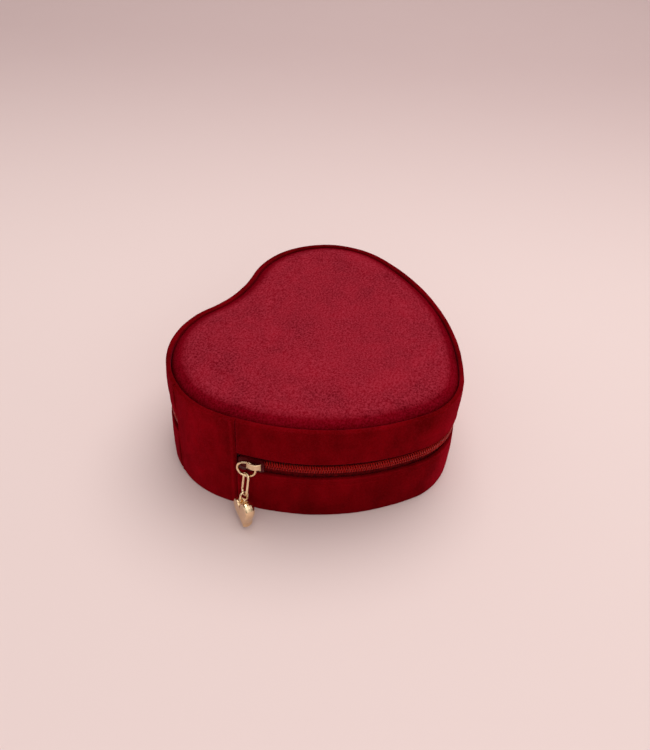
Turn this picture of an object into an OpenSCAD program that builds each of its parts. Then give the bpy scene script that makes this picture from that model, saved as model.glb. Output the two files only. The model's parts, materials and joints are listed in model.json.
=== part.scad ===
// Heart-shaped zip-round trinket box: a velvet-covered board case with a padded lid, a coil zip
// that runs round the side, a fabric hinge on the left lobe and a heart charm on the zip pull.
// +Z is up, the table is z = 0, the cleft of the heart points to +Y and the tip to -Y.
// The origin is on the underside, midway between the lobes and midway from tip to cleft side.

/* [Outline] */
// Width of the heart across both lobes
box_w = 115; // [100:1:140]
// Length of the heart from the tip to the top of the lobes
box_l = 104; // [92:1:126]
// Radius of each lobe
lobe_r = 33.5; // [30:0.5:38]
// Radius of the blunt tip
tip_r = 26.5; // [20:0.5:32]
// Radius of the long side between lobe and tip
side_r = 88; // [76:1:120]
// Radius of the soft cleft between the lobes
cleft_r = 46; // [30:1:60]

/* [Heights] */
// Height of the zip's centre line above the table
base_h = 25.5; // [21:0.5:32]
// Height of the lid from the zip's centre line to its rim
lid_h = 20.5; // [17:0.5:28]
// Height of the open slot that the zip shows in
zip_slot = 8.2; // [7.8:0.1:10]
// How far the padded top stands above the rim
pad_crown = 3.2; // [1:0.1:4]

/* [Layers] */
// Thickness of the velvet side bands and the hinge gusset
band_t = 1.8; // [1.4:0.1:2.4]
// Thickness of the outer wall boards
outer_wall_t = 1.8; // [1.2:0.1:2.5]
// Thickness of the inner wall boards
inner_wall_t = 1.4; // [1:0.1:2.5]
// Thickness of the top and bottom boards
board_t = 2; // [1.5:0.1:3]
// Thickness of the inner lining
lining_t = 0.8; // [0.6:0.1:1.4]
// Thickness of the velvet panels on the top and the underside
panel_t = 1; // [0.6:0.1:1.4]
// Free space between the outer and the inner wall boards
wall_gap = 0.4; // [0.3:0.1:1.2]
// Layer of glue between glued pieces
glue = 0.05; // [0.02:0.01:0.1]

/* [Hinge] */
// Half the width of the fabric hinge
gusset_half = 14.2; // [12:0.1:20]
// Gap between the closed inner walls of the base and the lid
closing_gap = 0.4; // [0.3:0.1:0.8]

/* [Inside] */
// Thickness of the covered dividers
divider_t = 3; // [2:0.1:4]
// Front-to-back place of the long divider
divider_y = 6; // [2:0.5:12]
// Height of the dividers above the floor lining
divider_h = 16.5; // [12:0.5:19]
// Height of a ring roll
roll_h = 14; // [10:0.5:16]
// Space left round each loose-fitting inner piece
fit_gap = 0.3; // [0.2:0.05:0.5]
// Thickness of the mirror glass
mirror_t = 1.8; // [1.2:0.1:3]
// Distance from the cavity's wall to the mirror's visible edge
mirror_border = 8; // [5:0.5:12]
// Width of the mirror's edge that its surround covers
mirror_lap = 1.5; // [1:0.1:3]

/* [Zip] */
// Thickness of the zip tape
tape_t = 0.5; // [0.4:0.05:0.7]
// Width of one zip tape
tape_w = 12; // [10:0.5:14]
// Gap between the two tapes behind the teeth
tape_gap = 2; // [1.8:0.1:2.4]
// Width of the closed row of teeth
coil_w = 3.6; // [3.2:0.1:4]
// Thickness of the teeth in front of the tape
coil_t = 1.3; // [1:0.1:1.35]
// Length of the slider along the zip
slider_l = 9.5; // [9.3:0.1:11]
// Thickness of the slider's plates
slider_plate_t = 0.95; // [0.8:0.05:1]
// Clearance between the slider and the zip
slider_gap = 0.15; // [0.15:0.05:0.3]

/* [Charm] */
// Wire radius of the pull ring
ring_wire = 0.45; // [0.4:0.05:0.5]
// Radius of the pull ring along the middle of its wire
ring_r = 3.4; // [3.3:0.1:3.8]
// Wire radius of the chain links
link_wire = 0.42; // [0.35:0.01:0.45]
// Outer length of the long link
link_l = 9.7; // [8:0.1:11]
// Outer width of the long link
link_w = 4.3; // [4.2:0.1:4.6]
// Outer length of the short link
short_link_l = 4.6; // [4.4:0.1:5.5]
// Outer width of the short link
short_link_w = 3.6; // [3.4:0.1:4.2]
// Width of the heart charm
charm_w = 11.6; // [8:0.1:12]
// Height of the heart charm from its tip to the top of its lobes
charm_h = 11.4; // [9:0.1:13]
// Thickness of the heart charm
charm_t = 4.2; // [3:0.1:5]

/* [Hidden] */
$fn = 48;

velvet_red = "#8f1626";
lining_red = "#7a1422";
tape_red = "#9c1420";
board_grey = "#9b9183";
gold = "#d9b27c";
enamel_red = "#5c0a12";

// --- the heart outline: arcs that run into each other, all moved in by the same inset ---
lobe_c = [box_w / 2 - lobe_r, box_l / 2 - lobe_r];
tip_c = [0, tip_r - box_l / 2];
side_to_lobe = side_r - lobe_r;
side_to_tip = side_r - tip_r;
lobe_tip = norm(tip_c - lobe_c);
lobe_tip_dir = (tip_c - lobe_c) / lobe_tip;
side_along = (pow(lobe_tip, 2) + pow(side_to_lobe, 2) - pow(side_to_tip, 2)) / (2 * lobe_tip);
side_across = sqrt(pow(side_to_lobe, 2) - pow(side_along, 2));
side_c = lobe_c + lobe_tip_dir * side_along + [lobe_tip_dir[1], -lobe_tip_dir[0]] * side_across;
cleft_c = [0, lobe_c[1] + sqrt(pow(lobe_r + cleft_r, 2) - pow(lobe_c[0], 2))];

function heading(v) = atan2(v[1], v[0]);
function arc(c, r, a0, a1, n) =
  [for (i = [0:n - 1]) let (a = a0 + (a1 - a0) * i / n) c + r * [cos(a), sin(a)]];

side_to_tip_a = heading(tip_c - side_c);
side_to_lobe_a = heading(lobe_c - side_c);
lobe_to_cleft_a = heading(cleft_c - lobe_c);
cleft_to_lobe_a = heading(lobe_c - cleft_c);

// detail 4 is the full number of points; 2 and 1 give a half and a quarter of them
function right_side(inset, detail) = concat(
  arc(tip_c, tip_r - inset, -90, side_to_tip_a, 2 * detail),
  arc(side_c, side_r - inset, side_to_tip_a, side_to_lobe_a, 6 * detail),
  arc(lobe_c, lobe_r - inset, side_to_lobe_a, lobe_to_cleft_a, 8 * detail),
  arc(cleft_c, cleft_r + inset, cleft_to_lobe_a, -90, 2 * detail));

function heart_outline(inset, detail = 4) = let (
    right = right_side(inset, detail),
    middle = [0, cleft_c[1] - cleft_r - inset],
    last = len(right) - 1)
  concat(right, [middle], [for (i = [last:-1:1]) [-right[i][0], right[i][1]]]);

// --- insets of the layers from the outer face of the velvet ---
tape_in = band_t + glue;
outer_wall_in = tape_in + tape_t + glue;
inner_wall_in = outer_wall_in + outer_wall_t + wall_gap;
lining_in = inner_wall_in + inner_wall_t + glue;
cavity_in = lining_in + lining_t;
coil_in = tape_in - coil_t;

// --- heights ---
rim_z = base_h + lid_h;
slot_drop = 0.4;
slot_low = base_h - slot_drop - zip_slot / 2;
slot_high = base_h - slot_drop + zip_slot / 2;
base_edge = base_h - closing_gap / 2;
lid_edge = base_h + closing_gap / 2;
floor_z = panel_t + board_t;
cavity_floor = floor_z + lining_t;
rim_stands = 2.5;
lid_board_z = rim_z - rim_stands - board_t;
ceiling_z = lid_board_z;
edge_back = 0.5;

// --- hinge ---
hinge_lining_up = 8;
hinge_lining_in = 2;
hinge_y = lobe_c[1];
hinge_x = -box_w / 2 + band_t / 2;
tape_tuck = 4;

// --- slider place on the left side: angles round the left side arc's centre ---
left_side_c = [-side_c[0], side_c[1]];
seam_a = 180 + asin((left_side_c[1] - hinge_y + gusset_half) / side_r);
seam_to_slider = 1.2;
slider_a = seam_a + (slider_l / 2 + seam_to_slider) / side_r * 180 / PI;
coil_start = 1.2;
coil_start_a = slider_a - coil_start / side_r * 180 / PI;

// --- flat shapes ---
module heart(inset) polygon(heart_outline(inset));

module heart_ring(outer_inset, inner_inset) {
  difference() {
    heart(outer_inset);
    heart(inner_inset);
  }
}

// strip across the left lobe at the hinge
module hinge_zone(half) translate([-box_w, hinge_y - half]) square([box_w * 3 / 4, 2 * half]);

module slab(z0, z1) translate([0, 0, z0]) linear_extrude(height = z1 - z0) children();

// solid skinned over closed loops of points, with a cap on the first loop and on the last
module loft(loops) {
  n = len(loops[0]);
  last = (len(loops) - 1) * n;
  sides = [for (k = [0:len(loops) - 2]) for (i = [0:n - 1])
    let (a = k * n + i, b = k * n + (i + 1) % n) each [[a, a + n, b + n], [a, b + n, b]]];
  polyhedron(points = [for (loop = loops) each loop],
    faces = concat([[for (i = [0:n - 1]) i]], sides, [[for (i = [n - 1:-1:0]) last + i]]));
}

function at_height(outline, z) = [for (p = outline) [p[0], p[1], z]];

// wedge over the left side arc, from the hinge to the first tooth
module before_teeth() {
  reach = 1.1 * side_r;
  middle_a = (180 + coil_start_a) / 2;
  translate(left_side_c)
    polygon([[0, 0], for (a = [180, middle_a, coil_start_a]) reach * [cos(a), sin(a)]]);
}

// --- base: boards, bands and linings ---
module base_underside() color(velvet_red) slab(0, panel_t) heart(band_t + glue);

module base_board() color(board_grey) slab(panel_t, floor_z) heart(outer_wall_in);

module base_outer_wall() color(board_grey)
  slab(floor_z, slot_low - edge_back) heart_ring(outer_wall_in, outer_wall_in + outer_wall_t);

module base_band() color(velvet_red) slab(0, slot_low) difference() {
  heart_ring(0, band_t);
  hinge_zone(gusset_half);
}

module base_inner_wall() color(board_grey)
  slab(floor_z, base_edge - lining_t) heart_ring(inner_wall_in, inner_wall_in + inner_wall_t);

// the lining runs up the wall and folds over its top edge
module base_wall_lining() color(lining_red) {
  slab(cavity_floor, base_edge - lining_t) heart_ring(lining_in, cavity_in);
  slab(base_edge - lining_t, base_edge) heart_ring(inner_wall_in, cavity_in);
}

module base_floor_lining() color(lining_red) slab(floor_z, cavity_floor) heart(lining_in);

// --- base: inside ---
divider_low = divider_y - divider_t / 2;
divider_high = divider_y + divider_t / 2;

// the dividers stop short of the inner cover of the hinge
divider_in = cavity_in + glue + lining_t + fit_gap;
module cavity_part(z0, z1) {
  slab(z0, z1) intersection() {
    heart(divider_in);
    children();
  }
}

module long_divider() color(lining_red)
  cavity_part(cavity_floor, cavity_floor + divider_h)
    translate([-box_w / 2, divider_low]) square([box_w, divider_t]);

module lobe_divider() color(lining_red)
  cavity_part(cavity_floor, cavity_floor + divider_h)
    translate([-divider_t / 2, divider_high + glue]) square([divider_t, box_l / 2]);

// the rolls share the room between the long divider and the tip
rolls = 5;
tip_room = 2;
roll_pitch = (divider_low - fit_gap + box_l / 2 - cavity_in - tip_room) / rolls;
roll_w = roll_pitch - fit_gap;

module ring_roll(number) {
  front = divider_low - fit_gap - number * roll_pitch;
  round_r = roll_w / 2;
  color(lining_red) intersection() {
    slab(cavity_floor, cavity_floor + roll_h) heart(cavity_in + fit_gap);
    translate([0, front + fit_gap + roll_w / 2, cavity_floor]) union() {
      translate([-box_w / 2, -round_r, 0]) cube([box_w, roll_w, roll_h - round_r]);
      translate([-box_w / 2, 0, roll_h - round_r]) rotate([0, 90, 0]) cylinder(r = round_r, h = box_w);
    }
  }
}

// --- fabric hinge ---
module hinge_gusset() color(velvet_red) slab(0, rim_z) intersection() {
  heart_ring(0, band_t);
  hinge_zone(gusset_half - glue);
}

// inner cover of the hinge, glued over the linings of both halves
module hinge_lining() color(lining_red)
  slab(base_h - hinge_lining_up, base_h + hinge_lining_up) intersection() {
    heart_ring(cavity_in + glue, cavity_in + glue + lining_t);
    hinge_zone(gusset_half - hinge_lining_in);
  }

// --- zip ---
module zip_tape(z0, z1) color(tape_red) slab(z0, z1) difference() {
  heart_ring(tape_in, tape_in + tape_t);
  hinge_zone(gusset_half - tape_tuck);
}

module zip_coil(z0, z1) color(tape_red) slab(z0, z1) difference() {
  heart_ring(coil_in, tape_in);
  hinge_zone(gusset_half + glue);
  before_teeth();
}

teeth_gap = 0.1;
module zip_tape_lower() zip_tape(base_h - tape_gap / 2 - tape_w, base_h - tape_gap / 2);
module zip_tape_upper() zip_tape(base_h + tape_gap / 2, base_h + tape_gap / 2 + tape_w);
module zip_coil_lower() zip_coil(base_h - coil_w / 2, base_h - teeth_gap / 2);
module zip_coil_upper() zip_coil(base_h + teeth_gap / 2, base_h + coil_w / 2);

// --- lid ---
module lid_board() color(board_grey) slab(lid_board_z, lid_board_z + board_t) heart(outer_wall_in);

module lid_outer_wall() color(board_grey)
  slab(slot_high + edge_back, lid_board_z) heart_ring(outer_wall_in, outer_wall_in + outer_wall_t);

module lid_band() color(velvet_red) slab(slot_high, rim_z) difference() {
  heart_ring(0, band_t);
  hinge_zone(gusset_half);
}

// the padded top curves in as it rises, from the groove behind the rim to its flat crown
pad_low = lid_board_z + board_t;
pad_high = rim_z + pad_crown;
pad_steps = 6;
groove_w = 0.3;
shoulder_w = 7;

// loop number i of the pad's surface, moved inward and down by the skin
function pad_loop(i, skin) = let (a = 90 * i / pad_steps) at_height(
  heart_outline(band_t + groove_w + skin + shoulder_w * (1 - cos(a)), 2),
  pad_low + (pad_high - skin - pad_low) * sin(a));

module lid_foam_pad() color(board_grey)
  loft([for (i = [0:pad_steps]) pad_loop(i, panel_t + glue)]);

// velvet panel over the pad, turned down into the groove
module lid_top_cover() color(velvet_red)
  loft(concat([for (i = [pad_steps:-1:0]) pad_loop(i, panel_t)], [for (i = [0:pad_steps]) pad_loop(i, 0)]));

module lid_inner_wall() color(board_grey)
  slab(lid_edge + lining_t, ceiling_z) heart_ring(inner_wall_in, inner_wall_in + inner_wall_t);

module lid_wall_lining() color(lining_red) {
  slab(lid_edge + lining_t, ceiling_z) heart_ring(lining_in, cavity_in);
  slab(lid_edge, lid_edge + lining_t) heart_ring(inner_wall_in, cavity_in);
}

// mirror glued to the lid board, its edge held by a lined surround
surround_t = 1.2;
mirror_in = cavity_in + mirror_border - mirror_lap;
module mirror() color("silver") slab(ceiling_z - mirror_t, ceiling_z) heart(mirror_in);

module mirror_surround() color(lining_red) {
  slab(ceiling_z - mirror_t - surround_t, ceiling_z - mirror_t)
    heart_ring(cavity_in + fit_gap, mirror_in + mirror_lap);
  slab(ceiling_z - mirror_t, ceiling_z) heart_ring(cavity_in + fit_gap, mirror_in - fit_gap);
}

// --- slider: local x points out of the box, y along the zip towards the tip, z up ---
module at_slider()
  translate([left_side_c[0], left_side_c[1], base_h])
    rotate([0, 0, slider_a]) translate([side_r, 0, 0]) children();

sagitta = pow(slider_l / 2, 2) / (2 * side_r);
front_in = -(coil_in - slider_gap);
front_out = front_in + slider_plate_t;
back_out = -(tape_in + tape_t + slider_gap + sagitta);
mouth_half = 3.4;
tail_half = 2.9;
flange_t = 0.7;
diamond_half = 0.8;
diamond_back = 0.2;
back_plate_less = 0.4;
mouth_cut = 1;
tail_cut = 0.8;
mouth_y = -slider_l / 2;
tail_y = slider_l / 2;
narrowing = [-slider_l / 8, slider_l / 6];

// plan of a slider plate: wide at the mouth, narrower at the tail, with its corners cut
function half_plate(less) = [
  [mouth_y, mouth_cut - mouth_half], [mouth_y + mouth_cut, less - mouth_half],
  [narrowing[0], less - mouth_half], [narrowing[1], less - tail_half],
  [tail_y - tail_cut, less - tail_half], [tail_y, tail_cut - tail_half]];

function plate_plan(less) = let (half = half_plate(less))
  concat(half, [for (i = [len(half) - 1:-1:0]) [half[i][0], -half[i][1]]]);

// a flat shape drawn in (y, z) and given a thickness in x
module upright(x0, x1)
  translate([x0, 0, 0]) rotate([90, 0, 90]) linear_extrude(height = x1 - x0) children();

// everything beyond the inner side of a flange, on one side of the slider
module beyond_flange(side) polygon([
  [mouth_y, side * (mouth_half - flange_t)], [narrowing[0], side * (mouth_half - flange_t)],
  [narrowing[1], side * (tail_half - flange_t)], [tail_y, side * (tail_half - flange_t)],
  [tail_y, side * 2 * mouth_half], [mouth_y, side * 2 * mouth_half]]);

module slider_body() color(enamel_red) at_slider() {
  upright(front_in, front_out) polygon(plate_plan(0));
  upright(back_out - slider_plate_t, back_out) polygon(plate_plan(back_plate_less));
  upright(back_out, front_in) polygon([
    [mouth_y + diamond_back, 0], [-slider_l / 3, -diamond_half],
    [-coil_start - slider_gap, 0], [-slider_l / 3, diamond_half]]);
  for (side = [-1, 1]) upright(-(tape_in - slider_gap), front_in) intersection() {
    polygon(plate_plan(0));
    beyond_flange(side);
  }
}

// strap that holds the pull ring
ring_clears = 1.35; // from the outer side of the bands to the middle of the ring
bail_gap = 2 * (ring_clears - front_out);
bail_t = 0.5;
strap_low = 0.3;
strap_high = 3.1;
post_l = 1;
post_low = -0.5;
post_high = 0.8;
bail_y0 = -1.4;
bail_y1 = 4;
module slider_bail() color(gold) at_slider() {
  translate([front_out + bail_gap, bail_y0, strap_low])
    cube([bail_t, bail_y1 - bail_y0, strap_high - strap_low]);
  for (y = [bail_y0, bail_y1 - post_l]) translate([front_out, y, post_low])
    cube([bail_gap, post_l, post_high - post_low]);
}

// --- pull chain: each piece hangs from the one above, leaning out to lay the charm on the table ---
chain_y = -1.6;
ring_lean = 4;
ring_c = [ring_clears, chain_y, -1.7];
link_play = 0.17;
skew = 45;
short_wire = 0.4;
loop_wire = 0.4;
charm_loop_r = 1.1;

// the charm follows a known heart curve, 32 units wide, its tip 17 below the middle and its notch 5 above;
// the notch is cut deeper here, and the charm is rolled on its loop so that the tip points aside
charm_kx = charm_w / 32;
charm_ky = charm_h / 28.9;
notch_cut = 3;
loop_to_notch = 4.1;
stem_r = 0.5;
stem_sunk = 0.6;
charm_roll = 24;
charm_drop = loop_to_notch + (5 - notch_cut) * charm_ky;
charm_l = charm_loop_r + (charm_drop + 17 * charm_ky - charm_loop_r) * cos(charm_roll);
tip_clear = 0.8;
stem_end = loop_to_notch - charm_loop_r + stem_sunk;

function down(lean) = [sin(lean), 0, -cos(lean)];

long_mid_l = link_l - 2 * link_wire;
long_reach = long_mid_l - link_wire - short_wire - link_play - (link_wire + ring_wire + link_play);
short_mid_l = short_link_l - 2 * short_wire;
short_reach = short_mid_l - short_wire - loop_wire - link_play;
ring_low = ring_c + ring_r * down(ring_lean);

// the charm hangs more upright than the links, and the whole chain leans out as far as it takes
// to hold the charm's tip just over the table
short_bend = 3;
charm_bend = -16;
chain_down = long_reach + short_reach * cos(short_bend) + charm_l * cos(charm_bend);
chain_out = short_reach * sin(short_bend) + charm_l * sin(charm_bend);
drop_left = base_h + ring_low[2] - tip_clear;
long_lean = acos(min(1, drop_left / norm([chain_down, chain_out]))) - atan2(chain_out, chain_down);
short_lean = long_lean + short_bend;
charm_lean = long_lean + charm_bend;

long_top = ring_low - (link_wire + ring_wire + link_play) * down(long_lean);
short_top = long_top + (long_mid_l - link_wire - short_wire - link_play) * down(long_lean);
charm_top = short_top + short_reach * down(short_lean);

// oval link hanging down from its top wire at the origin, in the plane of y and z
module oval_link(mid_l, mid_w, wire) {
  end_r = mid_w / 2;
  straight = mid_l - mid_w;
  for (side = [-1, 1]) translate([0, side * end_r, -end_r - straight]) cylinder(r = wire, h = straight);
  for (end = [0, 1]) translate([0, 0, -end_r - end * straight]) rotate([0, 90, 0])
    rotate([0, 0, end * 180 + 90]) rotate_extrude(angle = 180) translate([end_r, 0]) circle(r = wire);
}

// hangs a child that points down -z from a point of the slider's frame, leaning out and turned
module hang(point, lean, turn) at_slider()
  translate(point) rotate([0, -lean, 0]) rotate([0, 0, turn]) children();

module pull_ring() color(gold) at_slider() translate(ring_c) rotate([0, 90 - ring_lean, 0])
  rotate_extrude() translate([ring_r, 0]) circle(r = ring_wire);

module long_link() color(gold)
  hang(long_top, long_lean, -skew) oval_link(long_mid_l, link_w - 2 * link_wire, link_wire);

module short_link() color(gold)
  hang(short_top, short_lean, 90 - skew) oval_link(short_mid_l, short_link_w - 2 * short_wire, short_wire);

// charm: a thick heart with a flat front and a domed back, its small loop on a stem set in the notch
charm_rings = 4;
charm_points = 40;
front_share = 0.88;
back_share = 0.6;

// loop of the charm at a level from -charm_rings at the domed back to charm_rings at the flat front
function charm_loop(level) = let (
    a = 90 * level / charm_rings,
    k = 1 - (1 - (level > 0 ? front_share : back_share)) * (1 - cos(a)))
  [for (i = [0:charm_points - 1]) let (t = -360 * i / charm_points) [
    k * charm_kx * 16 * pow(sin(t), 3),
    k * charm_ky * (13 * cos(t) - 5 * cos(2 * t) - 2 * cos(3 * t) - cos(4 * t)
      - notch_cut * pow(cos(t / 2), 16)),
    charm_t / 2 * sin(a)]];

module heart_charm() color(gold) hang(charm_top, charm_lean, -skew) {
  translate([0, 0, -charm_loop_r]) {
    rotate([0, 90, 0]) rotate_extrude() translate([charm_loop_r, 0]) circle(r = loop_wire);
    rotate([charm_roll, 0, 0]) {
      translate([0, 0, -stem_end]) cylinder(r = stem_r, h = stem_end - charm_loop_r);
      translate([0, 0, charm_loop_r - charm_drop]) rotate([90, 0, 90])
        loft([for (level = [-charm_rings:charm_rings]) charm_loop(level)]);
    }
  }
}

base_underside();
base_board();
base_outer_wall();
base_band();
base_inner_wall();
base_wall_lining();
base_floor_lining();
long_divider();
lobe_divider();
for (number = [1:rolls]) ring_roll(number);
zip_tape_lower();
zip_coil_lower();
hinge_gusset();
hinge_lining();
lid_board();
lid_foam_pad();
lid_top_cover();
lid_outer_wall();
lid_band();
lid_inner_wall();
lid_wall_lining();
mirror_surround();
mirror();
zip_tape_upper();
zip_coil_upper();
slider_body();
slider_bail();
pull_ring();
long_link();
short_link();
heart_charm();
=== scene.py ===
"""Looks of the heart-shaped velvet jewellery box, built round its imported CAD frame. Metres, +Z up.

Most pieces follow the heart's outline. A place on it is given by its distance from the middle of the hinge,
going on past the zip's slider, round the tip, the free lobe and the cleft, and back to the hinge.
"""
import json
import math

import bmesh
import bpy
import numpy as np
from mathutils import Matrix, Vector, noise


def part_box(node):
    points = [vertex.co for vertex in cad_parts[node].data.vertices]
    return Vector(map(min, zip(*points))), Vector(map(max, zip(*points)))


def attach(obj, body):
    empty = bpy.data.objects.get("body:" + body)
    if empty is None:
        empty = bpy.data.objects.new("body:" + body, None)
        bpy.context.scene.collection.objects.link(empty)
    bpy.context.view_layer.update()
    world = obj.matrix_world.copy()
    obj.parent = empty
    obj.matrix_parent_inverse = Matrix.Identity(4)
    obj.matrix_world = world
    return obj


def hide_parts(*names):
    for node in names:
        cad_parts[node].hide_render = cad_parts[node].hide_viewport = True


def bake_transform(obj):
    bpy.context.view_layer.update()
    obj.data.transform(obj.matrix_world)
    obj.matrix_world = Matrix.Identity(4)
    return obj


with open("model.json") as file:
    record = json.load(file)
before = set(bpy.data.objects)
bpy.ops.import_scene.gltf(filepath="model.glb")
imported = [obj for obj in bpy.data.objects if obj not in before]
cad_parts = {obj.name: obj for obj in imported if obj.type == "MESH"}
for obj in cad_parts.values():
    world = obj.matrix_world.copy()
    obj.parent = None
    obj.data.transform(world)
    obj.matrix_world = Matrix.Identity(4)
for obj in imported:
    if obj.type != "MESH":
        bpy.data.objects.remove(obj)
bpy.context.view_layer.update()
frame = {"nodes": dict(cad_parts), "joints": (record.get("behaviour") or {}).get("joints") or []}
MM = 0.001

# --- sizes, read from the frame ---
BAND_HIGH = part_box("base_band")[1]
LID_BAND_LOW, LID_BAND_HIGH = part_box("lid_band")
GUSSET_LOW, GUSSET_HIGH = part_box("hinge_gusset")
JOINTS = {joint["name"]: joint for joint in frame["joints"]}
HINGE = Vector(JOINTS["lid_hinge"]["pos_m"])
HALF_W = BAND_HIGH.x
HALF_L = BAND_HIGH.y
RIM_Z = LID_BAND_HIGH.z
SLOT_LOW = BAND_HIGH.z
SLOT_HIGH = LID_BAND_LOW.z
TOP_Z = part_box("lid_top_cover")[1].z
GROOVE_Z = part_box("lid_top_cover")[0].z
FLOOR_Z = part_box("base_floor_lining")[0].z
CAVITY_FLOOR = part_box("base_floor_lining")[1].z
CEILING_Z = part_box("mirror")[1].z

# --- the outline's radii and the layers behind it, as inset from the velvet's face ---
LOBE_R = 33.5 * MM
TIP_R = 26.5 * MM
SIDE_R = 88 * MM
CLEFT_R = 46 * MM
BAND_T = 1.8 * MM
TAPE_IN = HALF_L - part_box("zip_tape_lower")[1].y
COIL_IN = HALF_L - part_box("zip_coil_lower")[1].y
INNER_WALL_IN = HALF_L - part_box("base_inner_wall")[1].y
LINING_T = CAVITY_FLOOR - FLOOR_Z
SURROUND_GAP = 0.3 * MM
CAVITY_IN = HALF_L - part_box("mirror_surround")[1].y - SURROUND_GAP

# --- mesh spacing along the outline, and the clearance that keeps two faces out of one plane ---
STEP = 1.2 * MM
FINE_STEP = 1.0 * MM
HAIR = 0.05 * MM


# --- the outline ---
def heading(v):
    """Angle of a direction in plan."""
    return math.atan2(v[1], v[0])


def outline_arcs():
    """The outline's arcs in order: centre, radius (below zero where it is hollow), first and last angle."""
    lobe = np.array([HALF_W - LOBE_R, HALF_L - LOBE_R])
    tip = np.array([0, TIP_R - HALF_L])
    apart = np.linalg.norm(tip - lobe)
    along = (tip - lobe) / apart
    across = np.array([along[1], -along[0]])
    to_lobe = SIDE_R - LOBE_R
    near = (apart ** 2 + to_lobe ** 2 - (SIDE_R - TIP_R) ** 2) / (2 * apart)
    side = lobe + along * near + across * math.sqrt(to_lobe ** 2 - near ** 2)
    cleft = np.array([0, lobe[1] + math.sqrt((LOBE_R + CLEFT_R) ** 2 - lobe[0] ** 2)])
    other = np.array([-1, 1])
    side_tip, side_lobe = heading(tip - side), heading(lobe - side)
    lobe_cleft, cleft_lobe = heading(cleft - lobe), heading(lobe - cleft)
    return [
        (lobe * other, LOBE_R, math.pi, math.pi - side_lobe),
        (side * other, SIDE_R, math.pi - side_lobe, math.pi - side_tip),
        (tip, TIP_R, math.pi - side_tip, 2 * math.pi + side_tip),
        (side, SIDE_R, side_tip, side_lobe),
        (lobe, LOBE_R, side_lobe, lobe_cleft),
        (cleft, -CLEFT_R, cleft_lobe, -math.pi - cleft_lobe),
        (lobe * other, LOBE_R, math.pi - lobe_cleft, math.pi),
    ]


ARCS = outline_arcs()
ARC_ENDS = np.cumsum([abs(r * (a1 - a0)) for _, r, a0, a1 in ARCS])
LENGTH = ARC_ENDS[-1]


def stations(along):
    """Points of the outline at these distances along it, and the outward directions there."""
    along = np.mod(along, LENGTH)
    which = np.minimum(np.searchsorted(ARC_ENDS, along, side="right"), len(ARCS) - 1)
    starts = np.concatenate([[0], ARC_ENDS[:-1]])
    centre = np.array([arc[0] for arc in ARCS])[which]
    radius = np.array([arc[1] for arc in ARCS])[which]
    first = np.array([arc[2] for arc in ARCS])[which]
    last = np.array([arc[3] for arc in ARCS])[which]
    share = (along - starts[which]) / (ARC_ENDS - starts)[which]
    angle = first + (last - first) * share
    radial = np.stack([np.cos(angle), np.sin(angle)], axis=1)
    return centre + np.abs(radius)[:, None] * radial, np.sign(radius)[:, None] * radial


def distance_at_y(y):
    """Distance along the outline, either way, from the middle of the hinge to where its y is this."""
    search = 0.8 * LOBE_R
    reach = np.linspace(-search, search, 2001)
    return float(np.interp(-y, -stations(reach)[0][:, 1], reach))


SEAM = distance_at_y(GUSSET_LOW.y)
FAR_SEAM = LENGTH + distance_at_y(GUSSET_HIGH.y)
SLIDER = Vector(JOINTS["ring_swing"]["pos_m"])


# --- mesh helpers ---
def mesh_object(name, points, faces):
    """A smooth-shaded object from points and faces, with its faces turned outward."""
    mesh = bpy.data.meshes.new(name)
    mesh.from_pydata([tuple(p) for p in points], [], [tuple(f) for f in faces])
    shell = bmesh.new()
    shell.from_mesh(mesh)
    bmesh.ops.recalc_face_normals(shell, faces=shell.faces)
    shell.to_mesh(mesh)
    shell.free()
    mesh.shade_smooth()
    piece = bpy.data.objects.new(name, mesh)
    bpy.context.scene.collection.objects.link(piece)
    return piece


def grid_faces(rows, columns, rows_close, columns_close):
    """Quads of a grid of points, row by row, that may close on itself either way."""
    faces = []
    for i in range(rows if rows_close else rows - 1):
        for k in range(columns if columns_close else columns - 1):
            j, n = (i + 1) % rows, (k + 1) % columns
            faces.append((i * columns + k, i * columns + n, j * columns + n, j * columns + k))
    return faces


def rounded(corners, step):
    """Closed profile through corners given as (outward, height, radius), with points about a step apart."""
    points = []
    count = len(corners)
    for i, (q, z, radius) in enumerate(corners):
        corner = np.array([q, z])
        before = np.array(corners[i - 1][:2]) - corner
        after = np.array(corners[(i + 1) % count][:2]) - corner
        start = corner + before / np.linalg.norm(before) * radius
        end = corner + after / np.linalg.norm(after) * radius
        bends = max(2, math.ceil(1.6 * radius / step))
        for t in np.linspace(0, 1, bends + 1):
            points.append((1 - t) ** 2 * start + 2 * t * (1 - t) * corner + t ** 2 * end)
        following = np.array(corners[(i + 1) % count][:2])
        next_start = following - after / np.linalg.norm(after) * corners[(i + 1) % count][2]
        gap = np.linalg.norm(next_start - end)
        for t in np.linspace(0, 1, max(1, math.ceil(gap / step)) + 1)[1:-1]:
            points.append(end + t * (next_start - end))
    return np.array(points)


def sweep(name, along, profile, closed=False, shape=None):
    """Carries a closed profile of (outward, height) points along the outline. shape(s, q, z) moves them."""
    points, normals = stations(along)
    s = np.repeat(np.asarray(along)[:, None], len(profile), axis=1)
    q = np.repeat(profile[None, :, 0], len(along), axis=0)
    z = np.repeat(profile[None, :, 1], len(along), axis=0)
    if shape:
        q, z = shape(s, q, z)
    plan = points[:, None, :] + normals[:, None, :] * q[..., None]
    solid = np.concatenate([plan, z[..., None]], axis=2).reshape(-1, 3)
    rows, columns = len(along), len(profile)
    faces = grid_faces(rows, columns, closed, True)
    if not closed:
        faces.append(tuple(range(columns)))
        faces.append(tuple(range((rows - 1) * columns, rows * columns)))
    return mesh_object(name, solid, faces)


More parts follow.
